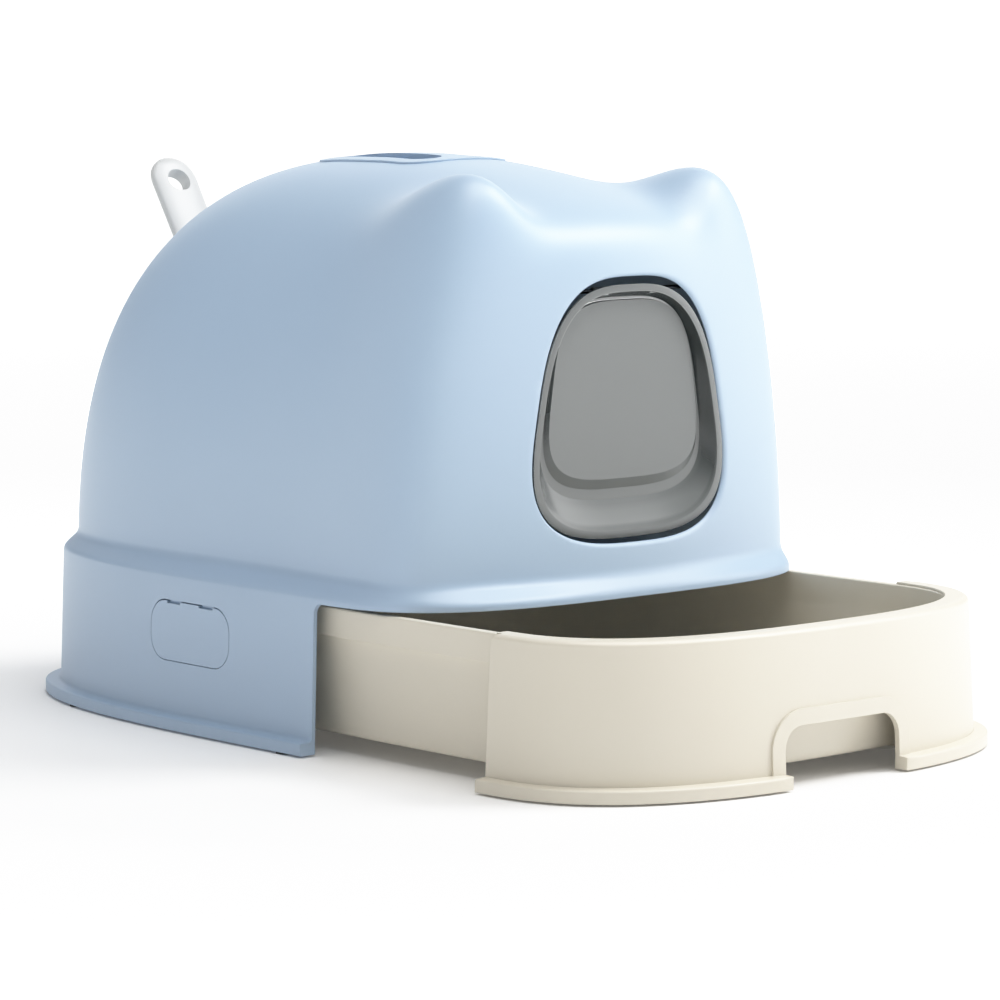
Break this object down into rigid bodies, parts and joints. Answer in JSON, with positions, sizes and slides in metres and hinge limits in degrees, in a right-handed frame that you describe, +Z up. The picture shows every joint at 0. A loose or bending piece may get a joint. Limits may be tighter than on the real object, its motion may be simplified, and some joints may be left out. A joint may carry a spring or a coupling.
{
  "type": "drawer litter box",
  "caption": "Covered cat litter box: hood with cat ears, see-through flap door, drawer pan with hand hole, scoop parked in the back and inset carry handle.",
  "frame": {"origin": "bottom centre of the bounding box, in the rest pose with the drawer pulled out 179 mm", "axes": "+Z up, -Y the front with the door and the drawer, +X the right-hand side seen from behind the box"},
  "size_m": [0.4266, 0.7316, 0.4023],
  "materials": {
    "blue_pp": "satin injection-moulded polypropylene with a fine texture",
    "cream_pp": "satin injection-moulded polypropylene with a fine texture",
    "white_pp": "satin injection-moulded polypropylene",
    "smoked_pc": "polished, smoked translucent polycarbonate",
    "white_pom": "smooth acetal",
    "steel": "zinc-plated steel",
    "grey_tpe": "matt moulded elastomer"
  },
  "bodies": {
    "hood": {"hood_shell": "blue_pp", "carry_handle": "blue_pp", "door_rod": "steel", "rod_caps": "grey_tpe", "hinge_bracket_left": "blue_pp", "hinge_bracket_right": "blue_pp", "bracket_screws": "steel", "latch_pins": "steel", "scoop_holder": "blue_pp", "holder_screws": "steel", "anti_slip_feet": "grey_tpe"},
    "drawer": {"litter_tray": "cream_pp", "drawer_front": "cream_pp", "front_clips": "white_pom", "tray_glides": "white_pom"},
    "door": {"door_panel": "smoked_pc"},
    "latch_left": {"side_latch_left": "blue_pp"},
    "latch_right": {"side_latch_right": "blue_pp"},
    "scoop": {"scoop": "white_pp"}
  },
  "joints": [
    {"name": "drawer_slide", "type": "slide", "parent": "hood", "child": "drawer", "axis": [0, -1, 0], "range_m": [-0.179, 0.2]},
    {"name": "door_swing", "type": "hinge", "parent": "hood", "child": "door", "pos_m": [0, -0.14924, 0.3135], "axis": [1, 0, 0], "range_deg": [-40, 75]},
    {"name": "latch_left_swing", "type": "hinge", "parent": "hood", "child": "latch_left", "pos_m": [-0.19534, 0.08343, 0.08823], "axis": [0.0307, 0.9995, 0], "range_deg": [0, 22]},
    {"name": "latch_right_swing", "type": "hinge", "parent": "hood", "child": "latch_right", "pos_m": [0.19534, 0.08343, 0.08823], "axis": [0.0307, -0.9995, 0], "range_deg": [0, 22]},
    {"name": "scoop_lift", "type": "slide", "parent": "hood", "child": "scoop", "axis": [0, 0.5299, 0.848], "range_m": [0, 0.24]}
  ]
}
